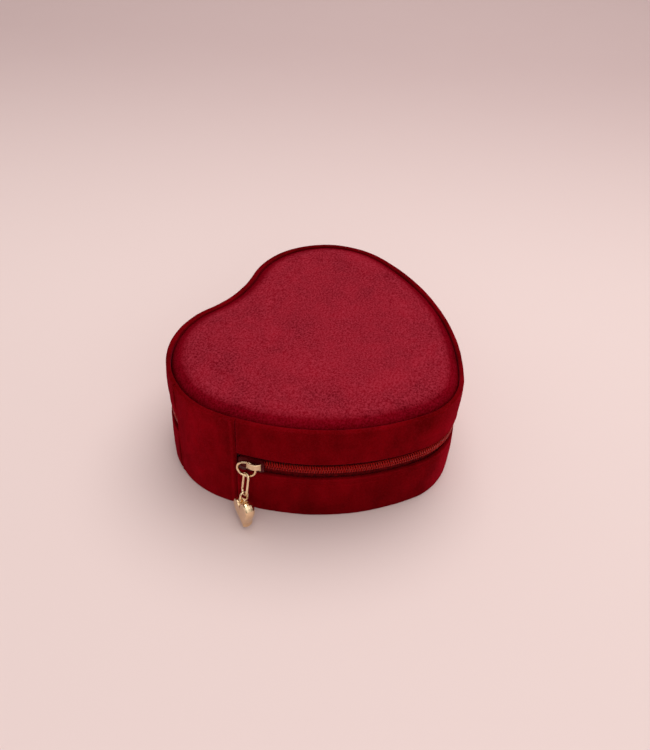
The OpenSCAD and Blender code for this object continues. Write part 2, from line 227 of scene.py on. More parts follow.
def waver(points, size, seed):
    """Smooth noise from about -1 to 1 at each point, with lumps of this size."""
    offset = Vector((seed * 7.3, seed * 3.1, seed * 5.7))
    return np.array([noise.noise(Vector(p) / size + offset) for p in points])


def soften(piece, size, amount, seed):
    """Moves a piece's points along their normals by smooth noise, as cloth never lies quite flat."""
    mesh = piece.data
    points = np.array([v.co for v in mesh.vertices])
    normals = np.array([v.normal for v in mesh.vertices])
    moved = points + normals * (waver(points, size, seed) * amount)[:, None]
    mesh.vertices.foreach_set("co", moved.astype(np.float32).ravel())
    mesh.update()


def heart_panel(name, inset, low, high, edge):
    """Closed heart-shaped panel with rounded edges. Its two faces close in rings towards the middle."""
    points, normals = stations(np.arange(0, LENGTH, STEP))
    turn = np.linspace(0, math.pi / 2, 5)
    loops = []
    rings = 14
    last_ring = 20 * MM - inset
    bottom = [(edge + ring, low) for ring in np.linspace(last_ring, 0, rings)[:-1]]
    corner_low = [(edge * (1 - math.sin(a)), low + edge * (1 - math.cos(a))) for a in turn]
    corner_high = [(edge * (1 - math.cos(a)), high - edge * (1 - math.sin(a))) for a in turn]
    top = [(edge + ring, high) for ring in np.linspace(0, last_ring, rings)[1:]]
    for ring_in, z in bottom + corner_low + corner_high + top:
        plan = points - normals * (inset + ring_in)
        loops.append(np.column_stack([plan, np.full(len(plan), z)]))
    return close_loops(name, loops)


def close_loops(name, loops, shrink=(0.75, 0.5, 0.25, 0.08)):
    """Closed mesh through loops of points. The first and the last loop close towards their own middles."""
    first, last = loops[0], loops[-1]
    start = [first.mean(0) + (first - first.mean(0)) * k for k in reversed(shrink)]
    end = [last.mean(0) + (last - last.mean(0)) * k for k in shrink]
    every = start + list(loops) + end
    count = len(first)
    solid = np.concatenate(every)
    faces = grid_faces(len(every), count, False, True)
    faces.append(tuple(range(count)))
    faces.append(tuple(range(len(solid) - count, len(solid))))
    return mesh_object(name, solid, faces)


def tube(name, path, radius, sides=6):
    """Round wire along a path of points, closed at both ends."""
    path = np.asarray(path, float)
    tangents = np.gradient(path, axis=0)
    tangents /= np.linalg.norm(tangents, axis=1)[:, None]
    slanting = [0.31, 0.52, 0.79]
    across = np.cross(tangents[0], slanting)
    rings = []
    turn = np.linspace(0, 2 * math.pi, sides, endpoint=False)
    for point, tangent in zip(path, tangents):
        across = across - tangent * np.dot(across, tangent)
        across /= np.linalg.norm(across)
        other = np.cross(tangent, across)
        rings.append(point + radius * (np.cos(turn)[:, None] * across + np.sin(turn)[:, None] * other))
    solid = np.concatenate(rings)
    faces = grid_faces(len(path), sides, False, True)
    faces.append(tuple(range(sides)))
    faces.append(tuple(range(len(solid) - sides, len(solid))))
    return mesh_object(name, solid, faces)


def join(name, pieces):
    """Joins meshes into one piece."""
    whole = bmesh.new()
    for piece in pieces:
        whole.from_mesh(piece.data)
        bpy.data.objects.remove(piece)
    mesh = bpy.data.meshes.new(name)
    whole.to_mesh(mesh)
    whole.free()
    mesh.shade_smooth()
    joined = bpy.data.objects.new(name, mesh)
    bpy.context.scene.collection.objects.link(joined)
    return joined


def apply_modifiers(piece):
    """Bakes a piece's modifiers into its mesh."""
    bpy.context.view_layer.update()
    graph = bpy.context.evaluated_depsgraph_get()
    mesh = bpy.data.meshes.new_from_object(piece.evaluated_get(graph))
    piece.modifiers.clear()
    piece.data = mesh
    mesh.shade_smooth()


# --- materials ---
MIX_SHARE, MIX_FIRST, MIX_SECOND, MIX_RESULT = 0, 6, 7, 2  # sockets of a colour Mix node


class Shader:
    """A node material with one Principled shader, and short ways to add what feeds it."""

    def __init__(self, name, **settings):
        self.material = bpy.data.materials.new(name)
        self.material.use_nodes = True
        self.tree = self.material.node_tree
        self.principled = self.tree.nodes["Principled BSDF"]
        coordinates = self.tree.nodes.new("ShaderNodeTexCoord")
        self.place = coordinates.outputs["Object"]
        self.normal = coordinates.outputs["Normal"]
        for socket, value in settings.items():
            self.principled.inputs[socket.replace("_", " ")].default_value = value

    def link(self, output, socket):
        """Feeds an output into an input of the Principled shader."""
        self.tree.links.new(output, self.principled.inputs[socket])

    def noise(self, size, detail=2.0, roughness=0.5, distortion=0.0, stretch=None):
        """Noise from 0 to 1 with lumps of this size in metres."""
        place = self.place
        if stretch:
            mapping = self.tree.nodes.new("ShaderNodeMapping")
            mapping.inputs["Scale"].default_value = stretch
            self.tree.links.new(place, mapping.inputs["Vector"])
            place = mapping.outputs["Vector"]
        node = self.tree.nodes.new("ShaderNodeTexNoise")
        node.inputs["Scale"].default_value = 1 / size
        node.inputs["Detail"].default_value = detail
        node.inputs["Roughness"].default_value = roughness
        node.inputs["Distortion"].default_value = distortion
        self.tree.links.new(place, node.inputs["Vector"])
        return node.outputs["Fac"]

    def facing_up(self):
        """How far the surface faces up: 1 level, 0 upright, -1 from beneath."""
        split = self.tree.nodes.new("ShaderNodeSeparateXYZ")
        self.tree.links.new(self.normal, split.inputs["Vector"])
        return split.outputs["Z"]

    def along(self, direction):
        """How far the surface faces along a direction, from -1 to 1."""
        node = self.tree.nodes.new("ShaderNodeVectorMath")
        node.operation = "DOT_PRODUCT"
        node.inputs[1].default_value = direction
        self.tree.links.new(self.normal, node.inputs[0])
        return node.outputs["Value"]

    def ramp(self, value, stops):
        """Colour ramp through (position, colour) stops."""
        node = self.tree.nodes.new("ShaderNodeValToRGB")
        elements = node.color_ramp.elements
        while len(elements) < len(stops):
            elements.new(0.5)
        for element, (position, colour) in zip(elements, stops):
            element.position = position
            element.color = (*colour, 1)
        self.tree.links.new(value, node.inputs["Fac"])
        return node.outputs["Color"]

    def math(self, operation, *values):
        """A Math node on numbers or outputs."""
        node = self.tree.nodes.new("ShaderNodeMath")
        node.operation = operation
        for i, value in enumerate(values):
            if isinstance(value, (int, float)):
                node.inputs[i].default_value = value
            else:
                self.tree.links.new(value, node.inputs[i])
        return node.outputs[0]

    def mix(self, share, first, second, blend="MIX"):
        """Two colours mixed by a share of the second."""
        node = self.tree.nodes.new("ShaderNodeMix")
        node.data_type = "RGBA"
        node.blend_type = blend
        for socket, value in ((MIX_SHARE, share), (MIX_FIRST, first), (MIX_SECOND, second)):
            if isinstance(value, (int, float)):
                node.inputs[socket].default_value = value
            elif isinstance(value, tuple):
                node.inputs[socket].default_value = (*value, 1)
            else:
                self.tree.links.new(value, node.inputs[socket])
        return node.outputs[MIX_RESULT]

    def bump(self, height, distance, strength=1.0):
        """Relief of this depth in metres from a height of 0 to 1."""
        node = self.tree.nodes.new("ShaderNodeBump")
        node.inputs["Distance"].default_value = distance
        node.inputs["Strength"].default_value = strength
        self.tree.links.new(height, node.inputs["Height"])
        self.link(node.outputs["Normal"], "Normal")


BLACK = (0.0, 0.0, 0.0)
WHITE = (1.0, 1.0, 1.0)


def velvet(name, dark, light, painted_sheen_pink, grain_and_painted_sheen, painted_shade_stops, glow, painted_dark_side=None):
    """Short-pile velvet: a deep colour with soft patches where the nap lies another way, a fine grain and
    painted light.

    painted_sheen_pink is a painted sheen on the pile's lit tips, and grain_and_painted_sheen is how much of
    it shows among the fibres. painted_shade_stops lists how far up the surface faces with the tint its
    colour is multiplied by, as painted shade. glow is the red sheen at a glancing angle. painted_dark_side
    is the way the surface faces where it is painted darkest, as painted shade.
    """
    shader = Shader(name, Roughness=0.95, Specular_IOR_Level=0.0, Sheen_Weight=glow, Sheen_Roughness=0.35,
                    Sheen_Tint=(1.0, 0.06, 0.14, 1))
    patches = shader.noise(24 * MM, detail=3, roughness=0.55, distortion=0.7)
    streaks = shader.noise(5 * MM, detail=3, roughness=0.6, stretch=(1, 1, 0.35))
    fibres = shader.noise(0.7 * MM, detail=3, roughness=0.8)
    nap = shader.math("ADD", shader.math("MULTIPLY", patches, 0.65), shader.math("MULTIPLY", streaks, 0.35))
    base = shader.ramp(nap, [(0.36, dark), (0.64, light)])
    # fibre grain, whose pink speckle is painted sheen
    painted_sheen_speckle = shader.ramp(fibres, [(0.4, BLACK), (0.62, WHITE)])
    colour = shader.mix(shader.math("MULTIPLY", painted_sheen_speckle, grain_and_painted_sheen), base, painted_sheen_pink)
    # painted shade: the colour is multiplied by a tint that follows how far up the surface faces
    painted_shade_tint = shader.ramp(shader.facing_up(), painted_shade_stops)
    colour = shader.mix(1.0, colour, painted_shade_tint, "MULTIPLY")
    # painted shade: faces turned towards the given side are darkened
    if painted_dark_side:
        side = shader.ramp(shader.along(painted_dark_side), [(0.72, WHITE), (1.0, (0.64, 0.5, 0.5))])
        colour = shader.mix(1.0, colour, side, "MULTIPLY")
    shader.link(colour, "Base Color")
    pile = shader.math("ADD", fibres, shader.math("MULTIPLY", streaks, 0.6))
    shader.bump(pile, 0.2 * MM, 0.6)
    return shader.material


def woven(name, dark, light, thread):
    """Plain tape weave: fine crossing threads that follow the height and the way round the box."""
    shader = Shader(name, Roughness=0.85, Specular_IOR_Level=0.05)
    across = shader.noise(thread, detail=1, stretch=(1, 1, 0.25))
    up = shader.noise(thread, detail=1, stretch=(0.25, 0.25, 1.6))
    weave = shader.math("MULTIPLY", across, up)
    shader.link(shader.ramp(weave, [(0.15, dark), (0.42, light)]), "Base Color")
    shader.bump(weave, 0.12 * MM, 0.6)
    return shader.material


def plain(name, dark, light, size, relief, **settings):
    """A surface that varies softly between two colours, with a fine relief."""
    shader = Shader(name, **settings)
    lumps = shader.noise(size, detail=4, roughness=0.6)
    shader.link(shader.ramp(lumps, [(0.3, dark), (0.7, light)]), "Base Color")
    shader.bump(lumps, relief, 0.5)
    return shader.material


def metal(name, dark, light, roughness):
    """Plated metal with faint wear in its colour and its polish."""
    shader = Shader(name, Metallic=1.0)
    wear = shader.noise(1.6 * MM, detail=4, roughness=0.65)
    scuffs = shader.noise(0.5 * MM, detail=3, roughness=0.6)
    shader.link(shader.ramp(wear, [(0.3, dark), (0.7, light)]), "Base Color")
    gloss = shader.math("ADD", roughness, shader.math("MULTIPLY", scuffs, 0.12))
    shader.link(gloss, "Roughness")
    shader.bump(scuffs, 0.01 * MM, 0.4)
    return shader.material


# Painted shade by how far up the surface faces: the top velvet darkens and loses its pink on slopes, the
# side velvet and lining darken where they face up.
TOP_PAINTED_SHADE = [(0.0, (0.35, 0.02, 0.08)), (0.6, (0.45, 0.04, 0.14)), (0.92, (0.64, 0.14, 0.28)),
              (0.985, WHITE)]
SIDE_PAINTED_SHADE = [(0.0, WHITE), (0.35, WHITE), (0.8, (0.6, 0.5, 0.5))]
# Direction towards which the side velvet is painted darkest, as painted shade.
PAINTED_DARK_SIDE = (-0.77, -0.64, 0)
# The top velvet is the side velvet's cloth with painted sheen: its pinker colours and denser pink speckle
# stand for the sheen on the lit top.
VELVET_TOP_PAINTED_SHEEN = velvet("velvet_top", dark=(0.13, 0.0015, 0.006), light=(0.225, 0.004, 0.012),
                    painted_sheen_pink=(0.38, 0.032, 0.054), grain_and_painted_sheen=0.66, painted_shade_stops=TOP_PAINTED_SHADE, glow=0.0)
VELVET_SIDE = velvet("velvet_side", dark=(0.13, 0.0002, 0.0008), light=(0.28, 0.0008, 0.005),
                     painted_sheen_pink=(0.36, 0.012, 0.024), grain_and_painted_sheen=0.25, painted_shade_stops=SIDE_PAINTED_SHADE, glow=0.12, painted_dark_side=PAINTED_DARK_SIDE)
LINING = velvet("lining_velvet", dark=(0.16, 0.003, 0.009), light=(0.22, 0.005, 0.013),
                painted_sheen_pink=(0.34, 0.03, 0.045), grain_and_painted_sheen=0.3, painted_shade_stops=SIDE_PAINTED_SHADE, glow=0.05)
# The tape's colour is darkened below its own red as painted shade for the shadowed gap under the teeth.
SHADE_PAINTED_TAPE = woven("zip_tape", (0.05, 0.0003, 0.001), (0.15, 0.001, 0.003), 0.5 * MM)
COIL = plain("zip_coil", (0.26, 0.002, 0.002), (0.4, 0.005, 0.004), 2 * MM, 0.02 * MM, Roughness=0.4,
             Specular_IOR_Level=0.35, Specular_Tint=(1.0, 0.25, 0.2, 1))
THREAD = plain("thread", (0.3, 0.003, 0.01), (0.42, 0.008, 0.016), 0.4 * MM, 0.03 * MM, Roughness=0.7)
BOARD = plain("grey_board", (0.24, 0.2, 0.15), (0.34, 0.29, 0.23), 0.8 * MM, 0.05 * MM, Roughness=0.95)
PAPER = plain("red_cover_paper", (0.09, 0.002, 0.004), (0.13, 0.003, 0.007), 0.6 * MM, 0.03 * MM,
              Roughness=0.9, Specular_IOR_Level=0.1)
ENAMEL = plain("red_enamel", (0.05, 0.001, 0.002), (0.075, 0.0015, 0.003), 3 * MM, 0.01 * MM,
               Roughness=0.16, Specular_IOR_Level=0.1, Specular_Tint=(1.0, 0.3, 0.3, 1))
GOLD = metal("pale_gold", (0.78, 0.57, 0.33), (0.9, 0.7, 0.46), 0.05)
GOLD_SATIN = metal("satin_gold", (0.8, 0.58, 0.34), (0.92, 0.7, 0.45), 0.16)
MIRROR = metal("mirror_glass", (0.82, 0.83, 0.84), (0.86, 0.87, 0.88), 0.02)


def finish(piece, body, material, slot, *nodes):
    """Gives a piece its material, its body and the CAD nodes it stands for. slot is not used."""
    piece.data.materials.clear()
    piece.data.materials.append(material)
    if body:
        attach(piece, body)
    if nodes:
        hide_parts(*nodes)
    return piece


def paint(node, material):
    """Gives a CAD node that stays its material."""
    piece = frame["nodes"][node]
    piece.data.materials.clear()
    piece.data.materials.append(material)
    piece.data.shade_smooth()


# --- side bands ---
def swell(place, middle, width):
    """A smooth rise from 0 to 1 and back round a middle place."""
    return np.exp(-((place - middle) / width) ** 2)


def cloth_lumps(s, z, *layers):
    """Smooth noise over a sheet, in metres. Each layer is (size of its lumps, their height, seed)."""
    points, _ = stations(s[:, 0])
    rows = [(x, y, h) for (x, y), hs in zip(points, z) for h in hs]
    lumps = sum(waver(rows, size, seed) * height for size, height, seed in layers)
    return lumps.reshape(z.shape)


def tapered_ends(s, first, last, length, least):
    """Share of the full thickness at a distance along a strip whose two ends are folded and pressed thin."""
    from_end = np.clip(np.minimum(s - first, last - s) / length, 0, 1)
    return least + (1 - least) * np.sqrt(1 - (1 - from_end) ** 2)


def band_shape(low, high, crease, seed):
    """Moves a band's points: a soft bulge, ends pressed in at the seams and a little noise.

    A band with a crease is folded in at that height. One without stands a little proud along its lower edge.
    """
    def shape(s, q, z):
        up = np.clip((z - low) / (high - low), 0, 1)
        outer = np.clip((q + BAND_T) / BAND_T, 0, 1)
        bulge = 0.3 * MM * np.sin(math.pi * up) - 0.2 * MM
        if crease:
            bulge = bulge - 0.3 * MM * swell(z, crease, 0.4 * MM)
        else:
            bulge = bulge + 0.18 * MM * swell(z, low + 0.4 * MM, 0.45 * MM)
        thin = tapered_ends(s, SEAM, FAR_SEAM, length=0.9 * MM, least=0.45)
        lumps = cloth_lumps(s, z, (14 * MM, 0.22 * MM, seed), (4 * MM, 0.07 * MM, seed + 3))
        q = q + outer * (bulge + lumps)
        return -BAND_T + (q + BAND_T) * thin, z
    return shape


def band(name, low, high, radius_low, radius_high, crease, seed):
    """Velvet side band, from one side of the hinge panel round to the other."""
    profile = rounded([(0, low, radius_low), (0, high, radius_high),
                       (-BAND_T, high, 0.6 * MM), (-BAND_T, low, 0.3 * MM)], 0.6 * MM)
    near_end = np.linspace(0.03, 1.2, 6) * MM
    along = np.concatenate([
        SEAM + near_end,
        np.arange(SEAM + 2 * MM, FAR_SEAM - 2 * MM, FINE_STEP),
        FAR_SEAM - near_end[::-1]])
    return sweep(name, along, profile, shape=band_shape(low, high, crease, seed))


lower_lip = 2.6 * MM
lower_band = band("velvet_band_lower", 0, SLOT_LOW, 0.7 * MM, 0.9 * MM, SLOT_LOW - lower_lip, 1)
finish(lower_band, "base", VELVET_SIDE, "velvet_side", "base_band")
upper_band = band("velvet_band_upper", SLOT_HIGH, RIM_Z, 0.6 * MM, 0.85 * MM, None, 2)
finish(upper_band, "lid", VELVET_SIDE, "velvet_side", "lid_band")


# --- fabric hinge ---
def gusset_shape(s, q, z):
    """Moves the hinge panel's points: proud hems, a pressed seam inside each, a top edge that dips."""
    first, last = FAR_SEAM - LENGTH, SEAM
    from_edge = np.minimum(s - first, last - s)
    hem_in, seam_in, pressed_in = 0.8 * MM, 2.4 * MM, 0.2 * MM
    hem = 0.15 * MM * swell(from_edge, hem_in, 0.7 * MM)
    seam = 0.12 * MM * swell(from_edge, seam_in, 0.6 * MM)
    corner = 0.35 * MM * swell(z, RIM_Z, 2.5 * MM) * swell(from_edge, hem_in, 1.2 * MM)
    outer = np.clip((q + BAND_T) / BAND_T, 0, 1)
    thin = tapered_ends(s, first, last, length=0.8 * MM, least=0.4)
    lumps = cloth_lumps(s, z, (11 * MM, 0.22 * MM, 5), (4 * MM, 0.06 * MM, 6))
    dip = 0.5 * MM * np.clip((z - RIM_Z) / MM + 3, 0, 1)
    z = z - dip * (1 - swell(from_edge, 0, 2 * MM))
    q = q + outer * (hem - seam + corner + lumps - pressed_in)
    return -BAND_T + (q + BAND_T) * thin, z


gusset_profile = rounded([(0, 0, 0.7 * MM), (0, RIM_Z, 1.3 * MM),
                          (-BAND_T, RIM_Z, 0.4 * MM), (-BAND_T, 0, 0.3 * MM)], 0.6 * MM)
side_gap = 0.04 * MM
gusset = sweep("velvet_hinge_gusset", np.linspace(FAR_SEAM - LENGTH + side_gap, SEAM - side_gap, 72),
               gusset_profile, shape=gusset_shape)
finish(gusset, None, VELVET_SIDE, "velvet_side", "hinge_gusset")
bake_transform(gusset)

cover_low, cover_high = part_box("hinge_lining")
cover_face = -CAVITY_IN - HAIR
cover_back = cover_face - 0.7 * MM
arc_over_chord = 1.06
cover_reach = (cover_high.y - cover_low.y) / 2 * arc_over_chord
cover_profile = rounded([(cover_face, cover_low.z, 0.2 * MM), (cover_face, cover_high.z, 0.2 * MM),
                         (cover_back, cover_high.z, 0.3 * MM), (cover_back, cover_low.z, 0.3 * MM)],
                        0.5 * MM)
inner_cover = sweep("hinge_inner_cover", np.linspace(-cover_reach, cover_reach, 40), cover_profile)
finish(inner_cover, None, LINING, "lining", "hinge_lining")
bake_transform(inner_cover)


# --- padded top ---
def cushion_loops():
    """Loops of the padded top, from the groove behind the rim over the shoulder to the middle."""
    groove_in = BAND_T + HAIR
    underside, shoulder, crown = 14 * MM, 10 * MM, 13 * MM
    dome, crown_share = 1.0 * MM, 0.85
    points, normals = stations(np.arange(0, LENGTH, FINE_STEP))
    loops = []
    for ring_in in np.linspace(underside, 1 * MM, 6):
        plan = points - normals * (groove_in + ring_in)
        loops.append(np.column_stack([plan, np.full(len(plan), GROOVE_Z)]))
    for a in np.linspace(0, math.pi / 2, 15):
        plan = points - normals * (groove_in + shoulder * (1 - math.cos(a)))
        rise = (TOP_Z - GROOVE_Z - dome) * math.sin(a)
        loops.append(np.column_stack([plan, np.full(len(plan), GROOVE_Z + rise)]))
    for ring_in in np.linspace(0, crown, 14)[1:]:
        plan = points - normals * (groove_in + shoulder + ring_in)
        rise = crown_share * dome * math.sin(math.pi / 2 * ring_in / crown)
        loops.append(np.column_stack([plan, np.full(len(plan), TOP_Z - dome + rise)]))
    return loops


cushion = close_loops("padded_velvet_top", cushion_loops(), (0.88, 0.76, 0.64, 0.52, 0.4, 0.28, 0.16, 0.05))
soften(cushion, 24 * MM, 0.3 * MM, 11)
soften(cushion, 7 * MM, 0.06 * MM, 12)
finish(cushion, "lid", VELVET_TOP_PAINTED_SHEEN, "velvet_top", "lid_top_cover", "lid_foam_pad")


# --- zip ---
def tape(name, node, body):
    """Zip tape round the box, its two ends tucked behind the hinge panel."""
    low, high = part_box(node)
    edge, tuck = 0.1 * MM, 3.5 * MM
    back = -TAPE_IN - 0.5 * MM
    profile = rounded([(-TAPE_IN, low.z, edge), (-TAPE_IN, high.z, edge),
                       (back, high.z, edge), (back, low.z, edge)], 1 * MM)
    piece = sweep(name, np.arange(SEAM - tuck, FAR_SEAM + tuck, FINE_STEP), profile)
    finish(piece, body, SHADE_PAINTED_TAPE, "zip_tape", node)


tape("woven_tape_lower", "zip_tape_lower", "base")
tape("woven_tape_upper", "zip_tape_upper", "lid")

PITCH = 0.92 * MM
WIRE = 0.22 * MM
COIL_START = SEAM + 7.2 * MM
COIL_END = FAR_SEAM - 0.3 * MM
COIL_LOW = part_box("zip_coil_lower")[0].z
COIL_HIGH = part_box("zip_coil_upper")[1].z


def coil(name, node, body, edge_z, phase):
    """One side of the zip: a wire wound flat, whose loops reach in between the other side's."""
    side = 1 if edge_z > HINGE.z else -1
    reach = -0.35 * MM * side
    middle_z = (edge_z + HINGE.z + reach) / 2
    half_z = abs(edge_z - HINGE.z - reach) / 2 - WIRE
    out_q = -COIL_IN - WIRE
    in_q = -TAPE_IN + WIRE
    turns = (COIL_END - COIL_START) / PITCH
    turn = np.arange(0, turns * 2 * math.pi, 2 * math.pi / 16)
    s = COIL_START + PITCH * (turn / (2 * math.pi) + phase)
    c, w = np.cos(turn), np.sin(turn)
    z = middle_z + half_z * np.sign(c) * np.abs(c) ** 0.8 * side
    q = (out_q + in_q) / 2 + (out_q - in_q) / 2 * np.sign(w) * np.abs(w) ** 0.6
    points, normals = stations(s)
    path = np.column_stack([points + normals * q[:, None], z])
    piece = tube(name, path, WIRE)
    finish(piece, body, COIL, "zip_coil", node)


coil("zip_teeth_lower", "zip_coil_lower", "base", COIL_LOW, 0.0)
coil("zip_teeth_upper", "zip_coil_upper", "lid", COIL_HIGH, 0.5)


def sewing(name, body, z):
    """Row of small stitches that holds the teeth to the tape."""
    stitch, gap, thread = 1.3 * MM, 0.45 * MM, 0.11 * MM
    bends = 5
    lift = 0.1 * MM * np.sin(np.linspace(0, math.pi, bends))
    pieces = []
    s = COIL_START + 0.3 * MM
    while s < COIL_END - 0.7 * MM:
        points, normals = stations(s + np.linspace(0, stitch, bends))
        path = np.column_stack([points + normals * (-TAPE_IN + lift)[:, None], np.full(bends, z)])
        pieces.append(tube(name, path, thread, sides=5))
        s += stitch + gap
    finish(join(name, pieces), body, THREAD, "zip_tape")


from_coil = 0.55 * MM
sewing("tape_stitches_lower", "base", COIL_LOW - from_coil)
sewing("tape_stitches_upper", "lid", COIL_HIGH + from_coil)


# --- slider and chain ---
def refined(node, name, bevel):
    """A CAD node's shape with its edges broken by a small bevel."""
    mesh = frame["nodes"][node].data.copy()
    shell = bmesh.new()
    shell.from_mesh(mesh)
    bmesh.ops.remove_doubles(shell, verts=shell.verts, dist=0.002 * MM)
    bmesh.ops.dissolve_limit(shell, angle_limit=math.radians(1), verts=shell.verts, edges=shell.edges)
    shell.to_mesh(mesh)
    shell.free()
    piece = bpy.data.objects.new(name, mesh)
    bpy.context.scene.collection.objects.link(piece)
    edge = piece.modifiers.new("edge", "BEVEL")
    edge.width = bevel
    edge.segments = 3
    edge.limit_method = "ANGLE"
    edge.angle_limit = math.radians(30)
    edge.harden_normals = True
    apply_modifiers(piece)
    return piece


slider = refined("slider_body", "enamel_slider", 0.16 * MM)
finish(slider, "slider", ENAMEL, "red_enamel", "slider_body")
swing_axis = Vector(JOINTS["ring_swing"]["axis"])
OUT = swing_axis * (-1 if swing_axis.dot(SLIDER) < 0 else 1)
ALONG = Vector((0, 0, 1)).cross(OUT)


def strap():
    """Arched gold strap on two low posts that holds the pull ring."""
    low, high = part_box("slider_bail")
    middle = (low + high) / 2
    half_l, half_w, thick = 2.7 * MM, 1.4 * MM, 0.5 * MM
    edge, post_r = 0.18 * MM, 0.5 * MM
    front, back = 1.05 * MM, -1.05 * MM
    section = rounded([(0, -half_w, edge), (0, half_w, edge),
                       (-thick, half_w, edge), (-thick, -half_w, edge)], 0.3 * MM)
    centre = Vector((middle.x, middle.y, high.z - half_w))
    loops = []
    for u in np.linspace(-1, 1, 33):
        arch = 0.35 * MM - 1.1 * MM * abs(u) ** 2.2
        loops.append([centre + ALONG * half_l * u + OUT * (front + arch + q) + Vector((0, 0, z))
                      for q, z in section])
    parts = [close_loops("arch", [np.array(loop) for loop in loops], shrink=(0.6, 0.2))]
    foot_z = low.z + 0.65 * MM
    for end in (-1, 1):
        foot = Vector((middle.x, middle.y, foot_z)) + ALONG * (half_l - post_r) * end
        stem = [foot + OUT * x for x in np.linspace(back, front - 0.6 * MM, 5)]
        parts.append(tube("post", stem, post_r, sides=16))
    return join("gold_bail", parts)


finish(strap(), "slider", GOLD, "gold_metal", "slider_bail")
for wire in ("pull_ring", "long_link", "short_link"):
    paint(wire, GOLD)
paint("heart_charm", GOLD_SATIN)


# --- inside the base ---
def lining(name, body, node, edge_z, far_z):
    """Wall lining, rolled over the wall board at the height edge_z. far_z is its other end."""
    roll = 1.6 * MM * (1 if far_z > edge_z else -1)
    face, back = -CAVITY_IN, -CAVITY_IN + LINING_T * 0.9
    profile = rounded([(face, far_z, 0.2 * MM), (back, far_z, 0.2 * MM), (back, edge_z + roll, 0.2 * MM),
                       (-INNER_WALL_IN, edge_z + roll, 0.2 * MM), (-INNER_WALL_IN, edge_z, 0.6 * MM),
                       (face, edge_z, 0.7 * MM)], 0.6 * MM)
    piece = sweep(name, np.arange(0, LENGTH, STEP), profile, closed=True)
    finish(piece, body, LINING, "lining", node)


lining("base_velvet_lining", "base", "base_wall_lining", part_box("base_wall_lining")[1].z, CAVITY_FLOOR)
lining("lid_velvet_lining", "lid", "lid_wall_lining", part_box("lid_wall_lining")[0].z, CEILING_Z)

floor_lining = heart_panel("floor_velvet", CAVITY_IN + HAIR, FLOOR_Z + HAIR, CAVITY_FLOOR, 0.3 * MM)
finish(floor_lining, "base", LINING, "lining", "base_floor_lining")
underside = heart_panel("underside_velvet", BAND_T + 0.1 * MM, 0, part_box("base_underside")[1].z, 0.35 * MM)
finish(underside, "base", VELVET_SIDE, "velvet_side", "base_underside")


def side_reach(y, inset):
    """Half the width of the heart at y, inset from its outline, below the widest place of the lobes."""
    past_tip, up_lobe = ARC_ENDS[1] + TIP_R * 0.1, ARC_ENDS[3] + LOBE_R * 0.3
    points, normals = stations(np.linspace(past_tip, up_lobe, 1500))
    points = points - normals * inset
    right = points[points[:, 0] > 0]
    return np.interp(y, right[:, 1], right[:, 0])


def bar(name, section, inset, round_end):
    """Cushion bar from wall to wall. section is a closed loop of (y, z). Its ends are rounded over."""
    middle = section.mean(0)
    loops = []
    stops = [(-1, 0.2), (-1, 0.6), (-0.99, 0.85), (-0.97, 0.97)]
    inner = [(t, 1.0) for t in np.linspace(-0.94, 0.94, 60)]
    for share, size in stops + inner + [(-t, k) for t, k in reversed(stops)]:
        part = middle + (section - middle) * (1 - (1 - size) * round_end)
        x = share * side_reach(part[:, 0], inset)
        loops.append(np.column_stack([x, part]))
    count = len(section)
    faces = grid_faces(len(loops), count, False, True)
    faces.append(tuple(range(count)))
    faces.append(tuple(range((len(loops) - 1) * count, len(loops) * count)))
    return mesh_object(name, np.concatenate(loops), faces)


for number in range(1, 6):
    node = f"ring_roll_{number}"
    low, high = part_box(node)
    width = high.y - low.y
    section = rounded([(low.y, low.z, 0.6 * MM), (high.y, low.z, 0.6 * MM), (high.y, high.z, width * 0.49),
                       (low.y, high.z, width * 0.49)], 0.7 * MM)
    roll = bar(f"velvet_ring_roll_{number}", section, CAVITY_IN + 0.4 * MM, 0.5)
    soften(roll, 9 * MM, 0.22 * MM, 20 + number)
    finish(roll, "base", LINING, "lining", node)

low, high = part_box("long_divider")
section = rounded([(low.y, low.z, 0.3 * MM), (high.y, low.z, 0.3 * MM), (high.y, high.z, 1.3 * MM),
                   (low.y, high.z, 1.3 * MM)], 0.5 * MM)
long_divider = bar("velvet_long_divider", section, CAVITY_IN + 1.2 * MM, 0.3)
finish(long_divider, "base", LINING, "lining", "long_divider")
short_divider = refined("lobe_divider", "velvet_lobe_divider", 0.9 * MM)
finish(short_divider, "base", LINING, "lining", "lobe_divider")

# --- inside the lid ---
surround_low, surround_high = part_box("mirror_surround")
mirror_low, mirror_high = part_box("mirror")
outer_q = -CAVITY_IN - SURROUND_GAP
inner_q = mirror_high.y - HALF_L - 1.5 * MM
rebate_q = inner_q + 1.8 * MM
surround_profile = rounded([(outer_q, surround_low.z, 0.4 * MM), (outer_q, surround_high.z, 0.2 * MM),
                            (rebate_q, surround_high.z, 0.2 * MM), (rebate_q, mirror_low.z, 0.05 * MM),
                            (inner_q, mirror_low.z, 0.1 * MM), (inner_q, surround_low.z, 0.5 * MM)],
                           0.7 * MM)
surround = sweep("velvet_mirror_surround", np.arange(0, LENGTH, STEP), surround_profile, closed=True)
finish(surround, "lid", LINING, "lining", "mirror_surround")
paint("mirror", MIRROR)
for board in ("base_inner_wall", "lid_inner_wall"):
    paint(board, BOARD)
for board in ("base_board", "base_outer_wall", "lid_board", "lid_outer_wall"):
    paint(board, PAPER)

